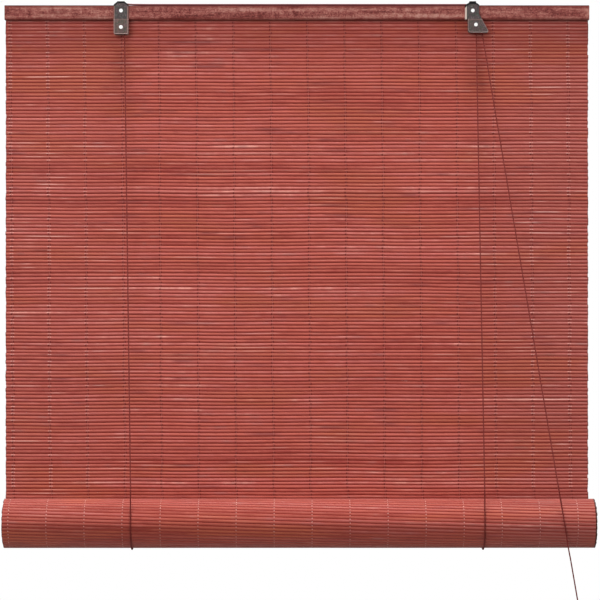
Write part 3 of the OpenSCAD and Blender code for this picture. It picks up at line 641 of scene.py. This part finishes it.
# pull cord: from the lock's throat, over the roll and down to its knob
throatX = rightX + 13.5 * mm
pullExit = Vector((throatX, cordY, exitZ))
pullTop = onLean(rightX + 111 * mm, pullR, rollZ + 50 * mm)
pullLow = Vector((rightX + 127 * mm, rollY - pullR, rollZ - 48 * mm))
pullEnd = Vector((rightX + 139 * mm, rollY - pullR - 0.5 * mm, rollZ - 118 * mm))
pullWay = (pullEnd - pullLow).normalized()
knobLook = {"length": 42 * mm, "neck": 3.5 * mm, "belly": 10 * mm, "recess": 9 * mm, "bore": 1.2 * mm,
            "recessRadius": 3.4 * mm, "grooves": (0.56, 0.64), "grooveDepth": 0.45 * mm, "grooveHalf": 0.022,
            "ease": 0.6 * mm, "easeShare": 0.02, "sweep": 126, "swell": 1.6, "sides": 40, "steps": 36}

upperWay = (pullTop - pullExit).normalized()
start, stop = pullExit + upperWay * gap, pullTop - upperWay * gap
pullUpper, upperRoute = makeCord("pullCordUpper", [start, stop], "pull_cord_upper", finish=litCordBraid)
bendPoints = [pullTop, onLean(rightX + 115 * mm, pullR, rollZ + 25 * mm),
              aroundRoll(rightX + 118.5 * mm, pullR, 180 + leanTo(pullR)),
              aroundRoll(rightX + 119 * mm, pullR, 180),
              (rightX + 122.5 * mm, rollY - pullR, rollZ - 24 * mm), pullLow]
pullBend, bendRoute = makeCord("pullCordBend", bendPoints, "pull_cord_bend", 3 * mm)
cordStop = pullEnd + pullWay * (knobLook["length"] - knobLook["recess"])
cordStart = pullLow + pullWay * gap
pullLower, lowerRoute = makeCord("pullCordLower", [cordStart, cordStop], "pull_cord_lower", 1.2 * mm)
hang(pullUpper, start, stop)
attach(pullBend, "cord_loops")
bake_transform(pullLower)


# cords along the batten and in the lock
def routeFrom(x, places):  # places in mm, counted along X from a bracket's middle
    return [(x + dx * mm, y * mm, z * mm) for dx, y, z in places]


exitMm = exitZ / mm
rollerMm = {"groove": 4.6, "y": -21, "z": -0.5, "turns": range(180, 14, -15)}  # the lock's upper roller
crossing = routeFrom(leftX, [
    (4.6, -20, exitMm), (4.6, -20, -23), (4.6, -20, -0.5), (5.0, -19.8, 4), (5.8, -19.2, 7),
    (6.4, -17.6, 9.2), (7.2, -15.8, 9.5), (9.6, -13.6, 9.4), (16.6, -12.1, 9.2), (44.6, -11.1, 9.2),
    (240, -11.1, 9.2)])
crossing += routeFrom(rightX, [
    (-30, -11.1, 9.2), (-6, -11.6, 9.2), (1, -13.2, 9.4), (4.8, -15, 9.5), (6.4, -17, 9.2),
    (6.8, -18.6, 6.6), (6.5, -19, 3), (6.6, -19, -4.5), (9.6, -19, -13.7), (11.4, -19, -21.7),
    (12.4, -19, -29.7), (13.5, -19, exitMm)])
crossingCord, _ = makeCord("crossingCord", crossing, "crossing_cord", 2 * mm)
inLock = [(5, -20, exitMm), (3.4, -20.4, -30.7), (0.6, -21, -27.3), (-1.8, -21, -23.7), (-2.8, -21, -19.7),
          (-4, -21, -11.7)]
for turn in rollerMm["turns"]:
    across, up = math.cos(math.radians(turn)), math.sin(math.radians(turn))
    inLock.append((rollerMm["groove"] * across, rollerMm["y"], rollerMm["groove"] * up + rollerMm["z"]))
inLock += [(6.2, -21, -4.5), (9.6, -21, -13.7), (11.4, -21, -21.7), (12.4, -21, -29.7), (13.5, -21, exitMm)]
lockCord, _ = makeCord("lockCord", routeFrom(rightX, inLock), "lock_cord", 2 * mm)
for cord in (crossingCord, lockCord):
    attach(cord, "headrail")
print("cords made")


# turned knob and the knot in its recess
def knobRadius(t):
    swell = math.sin(math.radians(knobLook["sweep"]) * t ** knobLook["swell"])
    return knobLook["neck"] + (knobLook["belly"] - knobLook["neck"]) * swell


def makeKnob():
    sides, steps = knobLook["sides"], knobLook["steps"]
    profile = [(knobLook["bore"], 0.0)]
    for i in range(steps + 1):
        t = i / steps
        cuts = sum(max(0.0, 1 - abs(t - g) / knobLook["grooveHalf"]) for g in knobLook["grooves"])
        edge = knobLook["ease"] * max(0.0, 1 - min(t, 1 - t) / knobLook["easeShare"])  # both rims are eased
        profile.append((knobRadius(t) - cuts * knobLook["grooveDepth"] - edge, t * knobLook["length"]))
    deep, hole = knobLook["length"] - knobLook["recess"], knobLook["recessRadius"]
    profile += [(hole, knobLook["length"]), (hole, deep), (knobLook["bore"], deep)]
    side = pullWay.orthogonal().normalized()
    other = pullWay.cross(side)
    verts, faces = [], []
    for r, along in profile:
        verts += ringAround(pullEnd + pullWay * along, side, other, r, sides)
    rows = len(profile)
    for i in range(rows):
        n = (i + 1) % rows
        for k in range(sides):
            m = (k + 1) % sides
            faces.append((i * sides + k, n * sides + k, n * sides + m, i * sides + m))
    knob = addMesh("turnedKnob", verts, faces, knobWood)
    knob.data.shade_smooth()
    return knob


knob = makeKnob()
seat(knob, "pull_knob", "pull")
knotLook = {"rise": 2.5 * mm, "points": 48, "scale": 0.5 * mm, "depth": -2.2, "radius": 0.85 * mm, "sides": 8}
knotAt = cordStop + pullWay * knotLook["rise"]
knotRoute = []
for i in range(knotLook["points"]):
    a = 2 * math.pi * i / knotLook["points"]
    trefoil = Vector((math.sin(a) + 2 * math.sin(2 * a), math.cos(a) - 2 * math.cos(2 * a),
                      knotLook["depth"] * math.sin(3 * a)))
    knotRoute.append(knotAt + knotLook["scale"] * trefoil)
knot = makeTube("cordKnot", knotRoute, knotLook["radius"], knotLook["sides"], cordBraid, closed=True)
seat(knot, "pull_knot", "pull")

print("knob and knot made")


# geometry trees
def grow(tree, kind, inputs=None, **settings):  # what comes out of a geometry node first
    return wire(tree, "GeometryNode" + kind, inputs, **settings).outputs[0]


def endTree(tree, geometry, finish):
    return endGroup(tree, {"Geometry": grow(tree, "SetMaterial", {"Geometry": geometry, "Material": finish})})


def position(tree):
    return grow(tree, "InputPosition")


def store(tree, geometry, name, value, kind="FLOAT", domain="POINT"):
    inputs = {"Geometry": geometry, "Name": name, "Value": value}
    return grow(tree, "StoreNamedAttribute", inputs, data_type=kind, domain=domain)


def growPiece(name, tree, values):  # runs a tree and keeps its result as a plain mesh
    piece = addObject(name, bpy.data.meshes.new(name + "Start"))
    grower = piece.modifiers.new("grower", "NODES")
    grower.node_group = tree
    for item in tree.interface.items_tree:
        if item.item_type == "SOCKET" and item.in_out == "INPUT" and item.name in values:
            grower[item.identifier] = values[item.name]
    graph = bpy.context.evaluated_depsgraph_get()
    grown = piece.evaluated_get(graph)
    mesh = bpy.data.meshes.new_from_object(grown, preserve_all_data_layers=True, depsgraph=graph)
    piece.modifiers.remove(grower)
    piece.data = mesh
    mesh.name = name
    triangles = sum(len(f.vertices) - 2 for f in mesh.polygons)
    print(name, "has", triangles, "triangles, size", [round(s, 4) for s in piece.dimensions])
    return piece


# slats: one rounded shape about the origin, along X, then copies of uneven length, height and thickness
slatLook = {"sides": 10, "matPoints": 49, "rollPoints": 21,
            "spread": ((0.9978, 0.9998), (0.88, 1.04), (0.97, 1.03))}


def slatShape(tree, given, segments, upright=1.0):
    width, height, thick = given["Width"], given["Slat height"], given["Slat thickness"]
    start, end = vector(tree, times(tree, width, -0.5)), vector(tree, times(tree, width, 0.5))
    line = grow(tree, "CurvePrimitiveLine", {"Start": start, "End": end})
    fine = grow(tree, "ResampleCurve", {"Curve": line, "Count": segments})
    ring = grow(tree, "CurvePrimitiveCircle", {"Resolution": slatLook["sides"], "Radius": 0.5})
    flat = grow(tree, "Transform", {"Geometry": ring, "Scale": vector(tree, thick, height, 1.0)})
    body = grow(tree, "CurveToMesh", {"Curve": fine, "Profile Curve": flat, "Fill Caps": True})
    up = split(tree, position(tree))[2]
    marked = store(tree, body, "edge", over(tree, up, times(tree, height, 0.5 * upright)))
    facing = split(tree, grow(tree, "InputNormal"))[0]
    sideFace = calc(tree, "LESS_THAN", calc(tree, "ABSOLUTE", facing), 0.7)
    return grow(tree, "SetShadeSmooth", {0: marked, "Shade Smooth": sideFace})


def chance(tree, low, high, seed):
    return wire(tree, "FunctionNodeRandomValue", {2: low, 3: high, 8: seed}, data_type="FLOAT").outputs[1]


def placeSlats(tree, points, slat, turn, seed):
    spread = vector(tree, *[chance(tree, *ends, number) for number, ends in enumerate(slatLook["spread"], 1)])
    inputs = {"Points": points, "Instance": slat, "Rotation": turn, "Scale": spread}
    placed = grow(tree, "InstanceOnPoints", inputs)
    toned = store(tree, placed, "tone", chance(tree, 0.0, 1.0, seed), domain="INSTANCE")
    return grow(tree, "RealizeInstances", {"Geometry": toned})


def keepRest(tree, geometry):  # the place at rest, which the finish keeps when the mat shortens
    return store(tree, geometry, "rest", position(tree), "FLOAT_VECTOR")


def rowOf(tree, count, start, step):
    inputs = {"Count": count, "Start Location": start, "Offset": step}
    return grow(tree, "MeshLine", inputs, mode="OFFSET")


def setPlace(tree, geometry, place, way="Position"):
    return grow(tree, "SetPosition", {"Geometry": geometry, way: place})


def moveBy(tree, geometry, offset):
    return setPlace(tree, geometry, offset, "Offset")


# how the whole hanging mat waves: slats and warp threads use the same waves
def makeMatWaves():
    group, given = startGroup("matWaves", {"Wave": 0.0}, "GeometryNodeTree")
    at = split(group, position(group))
    place = vector(group, times(group, at[0], 7.0), times(group, at[2], 9.0), 3.1)
    wave = minus(group, cloud(group, place, 1.0, 1.5, 0.45), 0.5)
    hang = blendIn(group, at[2], -0.02, -0.11)
    return endGroup(group, {"Rise": times(group, wave, hang, given["Wave"])})


matWaves = makeMatWaves()


def waveRise(tree, wave):
    return grow(tree, "Group", {"Wave": wave}, node_tree=matWaves)


# hanging mat
matLook = {"Width": 0.8, "Slat height": 5.25 * mm, "Slat thickness": slatThick, "Pitch": slatPitch,
           "Slats": slatCount, "Top": matTop, "Depth": matMidY, "Wave": 3.2 * mm, "Bow": 0.5 * mm,
           "Seed": 11, "Finish": matBamboo}


def makeMatTree():
    tree, given = startGroup("slatMat", matLook, "GeometryNodeTree")
    slat = slatShape(tree, given, slatLook["matPoints"])
    first = vector(tree, 0.0, given["Depth"], fit(tree, given["Pitch"], -0.5, given["Top"]))
    down = vector(tree, 0.0, 0.0, times(tree, given["Pitch"], -1.0))
    points = rowOf(tree, given["Slats"], first, down)
    shifted = moveBy(tree, points, vector(tree, chance(tree, -0.2 * mm, 0.2 * mm, 5)))
    turn = vector(tree, chance(tree, -0.16, 0.16, 6))
    laid = placeSlats(tree, shifted, slat, turn, given["Seed"])
    tone = grow(tree, "InputNamedAttribute", {"Name": "tone"}, data_type="FLOAT")
    at = split(tree, position(tree))
    held = over(tree, minus(tree, at[0], threadFirst), threadPitch)
    free = calc(tree, "POWER", calc(tree, "ABSOLUTE", calc(tree, "SINE", times(tree, held, math.pi))), 2.0)
    bows = []
    for layer in (2.0, 8.0):  # one noise for up and down, one for in and out
        place = vector(tree, times(tree, at[0], 16.0), times(tree, tone, 400.0), layer)
        bows.append(times(tree, cloud(tree, place, 1.0, 1.0), times(tree, free, given["Bow"])))
    rise = minus(tree, bows[0], times(tree, free, given["Bow"], 0.5))
    below = blendIn(tree, at[2], -0.013, -0.03)
    out = times(tree, bows[1], below, -0.8)
    moved = moveBy(tree, laid, vector(tree, 0.0, out, plus(tree, rise, waveRise(tree, given["Wave"]))))
    return endTree(tree, keepRest(tree, moved), given["Finish"])


slatMat = growPiece("slatMat", makeMatTree(), matLook)
seat(slatMat, "slat_mat", "headrail")
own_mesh(slatMat)


# warp threads: two strands in each column, crossing between the slats
threadLook = {"Radius": 0.36 * mm, "Swing": 1.08 * mm, "Columns": threadCount, "Column pitch": threadPitch,
              "First": threadFirst, "Pitch": slatPitch, "Slats": slatCount, "Top": matTop, "Depth": matMidY,
              "Lean": threadLean, "Wave": matLook["Wave"], "Finish": warpYarn}
strandLook = {"pointsPerSlat": 4.0, "sway": 0.22 * mm, "sides": 4}


def strandPath(tree, points, place):
    line = grow(tree, "CurvePrimitiveLine", {"Start": (0.0, 0.0, 0.0), "End": (0.0, 0.0, -1.0)})
    return setPlace(tree, grow(tree, "ResampleCurve", {"Curve": line, "Count": points}), place)


def strandTube(tree, path, radius):
    ring = grow(tree, "CurvePrimitiveCircle", {"Resolution": strandLook["sides"], "Radius": radius})
    tube = grow(tree, "CurveToMesh", {"Curve": path, "Profile Curve": ring, "Fill Caps": True})
    return grow(tree, "SetShadeSmooth", {0: tube})


def slatsPassed(tree):  # along a strand
    index = grow(tree, "InputIndex")
    return over(tree, index, strandLook["pointsPerSlat"])


# two strands that swing past each other, copied to every column
def strandColumns(tree, given, passed, placeOf):
    phase = times(tree, passed, math.pi)
    points = fit(tree, given["Slats"], strandLook["pointsPerSlat"], 1.0)
    strands = tree.nodes.new("GeometryNodeJoinGeometry")
    for side in (-1.0, 1.0):
        swing = times(tree, calc(tree, "SINE", phase), times(tree, given["Swing"], side))
        sway = times(tree, calc(tree, "COSINE", phase), side * strandLook["sway"])
        path = strandPath(tree, points, placeOf(sway, swing))
        tree.links.new(strandTube(tree, path, given["Radius"]), strands.inputs[0])
    columns = rowOf(tree, given["Columns"], vector(tree, given["First"]), vector(tree, given["Column pitch"]))
    placed = grow(tree, "InstanceOnPoints", {"Points": columns, "Instance": strands.outputs[0]})
    return grow(tree, "RealizeInstances", {"Geometry": placed})


def makeThreadTree():
    tree, given = startGroup("warpThreads", threadLook, "GeometryNodeTree")
    passed = slatsPassed(tree)
    down = minus(tree, given["Top"], times(tree, passed, given["Pitch"]))
    laid = strandColumns(tree, given, passed,
                         lambda sway, swing: vector(tree, sway, plus(tree, given["Depth"], swing), down))
    at = split(tree, position(tree))
    wander = fit(tree, threadStray(tree, at[0], at[2]), threadWander, -0.5 * threadWander)
    slope = threadSlope(tree, at[2], given["Lean"])
    moved = moveBy(tree, laid, vector(tree, plus(tree, wander, slope), 0.0, waveRise(tree, given["Wave"])))
    return endTree(tree, moved, given["Finish"])


warpThreads = growPiece("warpThreads", makeThreadTree(), threadLook)
seat(warpThreads, "warp_threads", "headrail")
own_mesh(warpThreads)


# rolled mat: the same slats along a spiral, wound a little askew
rollLook = {"Width": 0.8, "Slat height": 4.95 * mm, "Slat thickness": 1.4 * mm, "Pitch": slatPitch,
            "Slats": 314, "Middle radius": rollR - 0.7 * mm, "Turn pitch": 2.24 * mm, "Shift": rollShift,
            "Skew": 0.85, "Seed": 23, "Finish": rollBamboo}


def spiral(tree, given, along):  # angle and radius after a length of mat, from the outside in
    middle, turnPitch = given["Middle radius"], given["Turn pitch"]
    inner = minus(tree, times(tree, middle, middle), over(tree, times(tree, turnPitch, along), math.pi))
    radius = calc(tree, "SQRT", inner)
    turn = over(tree, times(tree, minus(tree, middle, radius), 2 * math.pi), turnPitch)
    return turn, radius


def atTurn(tree, x, radius, turn):
    y = fit(tree, radius, calc(tree, "COSINE", turn), rollY)
    z = minus(tree, rollZ, times(tree, radius, calc(tree, "SINE", turn)))
    return vector(tree, x, y, z)


def skewRoll(tree, geometry, skew):  # turns each place about the roll's axis, more towards the ends
    place = position(tree)
    angle = times(tree, split(tree, place)[0], skew)
    inputs = {"Vector": place, "Center": (0.0, rollY, rollZ), "Angle": angle}
    turned = wire(tree, "ShaderNodeVectorRotate", inputs, rotation_type="X_AXIS").outputs[0]
    return setPlace(tree, geometry, turned)


def makeRollTree():
    tree, given = startGroup("slatRoll", rollLook, "GeometryNodeTree")
    slat = slatShape(tree, given, slatLook["rollPoints"], upright=-1.0)
    index = grow(tree, "InputIndex")
    along = times(tree, plus(tree, index, 0.5), given["Pitch"])
    turn, radius = spiral(tree, given, along)
    points = rowOf(tree, given["Slats"], anywhere, anywhere)
    x = plus(tree, given["Shift"], chance(tree, -0.3 * mm, 0.3 * mm, 5))
    wound = setPlace(tree, points, atTurn(tree, x, radius, turn))
    tilt = minus(tree, chance(tree, -0.05, 0.05, 6), turn)
    laid = placeSlats(tree, wound, slat, vector(tree, tilt), given["Seed"])
    skewed = skewRoll(tree, laid, given["Skew"])
    return endTree(tree, keepRest(tree, skewed), given["Finish"])


slatRoll = growPiece("slatRoll", makeRollTree(), rollLook)
seat(slatRoll, "mat_roll", "roll")


# threads round the roll's outer turn
ringLook = {"Radius": 0.58 * mm, "Swing": 0.04 * mm, "Columns": threadCount, "Column pitch": threadPitch,
            "First": threadFirst + rollShift, "Pitch": slatPitch, "Slats": 47,
            "Middle radius": rollLook["Middle radius"], "Turn pitch": rollLook["Turn pitch"],
            "Skew": rollLook["Skew"], "Finish": litYarn}


def makeRingTree():
    tree, given = startGroup("rollThreads", ringLook, "GeometryNodeTree")
    passed = slatsPassed(tree)
    turn, radius = spiral(tree, given, times(tree, passed, given["Pitch"]))
    laid = strandColumns(tree, given, passed,
                         lambda sway, swing: atTurn(tree, sway, plus(tree, radius, swing), turn))
    skewed = skewRoll(tree, laid, given["Skew"])
    return endTree(tree, skewed, given["Finish"])


rollThreads = growPiece("rollThreads", makeRingTree(), ringLook)
seat(rollThreads, "roll_threads", "roll")
print("mat and roll made")


# rims along the front plates' lower edges, coloured paler than the plates: partly the tubes' own highlight,
# partly painted highlight
rimLook = {"radius": 0.5 * mm, "inset": 0.45 * mm, "sides": 8, "step": 1.5 * mm, "face": -24.5 * mm,
           "leftBottom": -32.7 * mm, "lockBottom": -30.5 * mm, "corner": 1.6 * mm, "half": 10 * mm,
           "foot": 6.6 * mm, "footRadius": 4 * mm}


def cornerArc(x, z, r, fromAngle, toAngle):
    turns = [fromAngle + (toAngle - fromAngle) * i / 4 for i in range(5)]
    return [(x + r * math.cos(math.radians(a)), z + r * math.sin(math.radians(a))) for a in turns]


half, corner, inset = rimLook["half"] - rimLook["inset"], rimLook["corner"], rimLook["inset"]
bottom = rimLook["leftBottom"] + inset
leftEdge = [(leftX - half, battenBottom - inset), (leftX - half, bottom + corner)]
leftEdge += cornerArc(leftX - half + corner, bottom + corner, corner, 180, 270)[1:]
leftEdge += cornerArc(leftX + half - corner, bottom + corner, corner, 270, 360)
leftEdge += [(leftX + half, battenBottom - inset)]
bottom = rimLook["lockBottom"] + inset
footX, footR = rightX - rimLook["foot"] + inset, rimLook["footRadius"]
lockEdge = [(footX, battenBottom - inset), (footX, bottom + footR)]
lockEdge += cornerArc(footX + footR, bottom + footR, footR, 180, 270)[1:]
lockEdge += [(rightX + 19.6 * mm, bottom), (rightX + 20.8 * mm, bottom + 1.3 * mm),
             (rightX + 12.0 * mm, battenBottom - 0.4 * mm)]
for name, places in (("leftRim", leftEdge), ("lockRim", lockEdge)):
    route = smoothRoute([(x, rimLook["face"], z) for x, z in places], rimLook["step"])
    rim = makeTube(name, route, rimLook["radius"], rimLook["sides"], litRimSteel)
    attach(rim, "headrail")
print("rims made")

# finishes for the CAD pieces that keep their shape
kept = {"head_batten": battenWood, "bottom_rod": rodWood}
kept.update((name, bracketSteel) for name in ("left_bracket", "right_bracket"))
kept.update((name, brightWire) for name in ("bracket_tacks", "mat_staples", "anchor_staples"))
kept.update((side + "_roller", whiteNylon) for side in ("left_upper", "left_lower", "right_upper", "lock"))
for name, finish in kept.items():
    piece = nodes[name]
    if piece.material_slots:
        for slotHere in piece.material_slots:
            slotHere.material = finish
    else:
        piece.data.materials.append(finish)
print("kept pieces finished")


# stage: pale floor far below, white round about, soft lamps in front and above
stageLook = {
    "floorZ": -2.4, "floorSize": 14.0, "floorTone": (0.80, 0.79, 0.78), "floorSpots": (0.84, 0.83, 0.82),
    "dimFloor": (0.27, 0.266, 0.262), "floorFade": (2.6, 6.8), "floorGlow": (0.0, 0.68),
    "skyTone": (1.0, 0.98, 0.96, 1.0), "skyStrength": 0.20, "aim": (0.0, 0.0, -0.36),
    "key": {"at": (-0.9, -3.2, 0.5), "size": 1.8, "power": 57.0},
    "fill": {"at": (1.9, -3.1, 1.2), "size": 2.2, "power": 27.0},
    "top": {"at": (0.0, -0.55, 4.0), "size": 1.6, "power": 305.0},
    "back": {"at": (-0.6, 3.0, 0.9), "size": 2.0, "power": 45.0},
}


def raySeen(tree):  # one for rays that look at the background, straight or through gloss and glass
    rays = tree.nodes.new("ShaderNodeLightPath").outputs
    mirrored = calc(tree, "MAXIMUM", rays["Is Glossy Ray"], rays["Is Transmission Ray"])
    return calc(tree, "MAXIMUM", rays["Is Camera Ray"], mirrored)


floorFinish, tree, surface, coords = newFinish("paleFloor", 0.9)
spots = cloud(tree, coords["Object"], 3.0)
floorTone = mixColour(tree, spots, stageLook["floorTone"], stageLook["floorSpots"])
floorTone = mixColour(tree, raySeen(tree), stageLook["dimFloor"], floorTone)  # throws little light upwards
tree.links.new(floorTone, surface.inputs["Base Color"])
away = wire(tree, "ShaderNodeVectorMath", {0: coords["Object"]}, operation="LENGTH").outputs["Value"]
# for the camera, the floor fades to white
glow = blendIn(tree, away, *stageLook["floorFade"], stageLook["floorGlow"])
glow = times(tree, glow, tree.nodes.new("ShaderNodeLightPath").outputs["Is Camera Ray"])
tree.links.new(glow, surface.inputs["Emission Strength"])
half, floorZ = stageLook["floorSize"] / 2, stageLook["floorZ"]
corners = [(x, y, floorZ) for x, y in ((-half, -half), (half, -half), (half, half), (-half, half))]
floor = addMesh("paleFloor", corners, [(0, 1, 2, 3)], floorFinish)

world = bpy.data.worlds.new("studio")
scene.world = world
world.use_nodes = True
tree = world.node_tree
tree.nodes.clear()
soft = wire(tree, "ShaderNodeBackground",
            {"Color": stageLook["skyTone"], "Strength": stageLook["skyStrength"]})
white = wire(tree, "ShaderNodeBackground", {"Color": (1.0, 1.0, 1.0, 1.0), "Strength": 1.0})
mixed = wire(tree, "ShaderNodeMixShader", {0: raySeen(tree), 1: soft.outputs[0], 2: white.outputs[0]})
wire(tree, "ShaderNodeOutputWorld", {"Surface": mixed.outputs[0]})

for name in ("key", "fill", "top", "back"):
    look = stageLook[name]
    lamp = bpy.data.lights.new(name + "Lamp", "AREA")
    lamp.shape = "DISK"
    lamp.size = look["size"]
    lamp.energy = look["power"]
    lampObject = addObject(name + "Lamp", lamp)
    lampObject.location = look["at"]
    aim = Vector(stageLook["aim"]) - Vector(look["at"])
    lampObject.rotation_euler = aim.to_track_quat("-Z", "Y").to_euler()
scene.view_settings.view_transform = "Standard"
print("stage set")
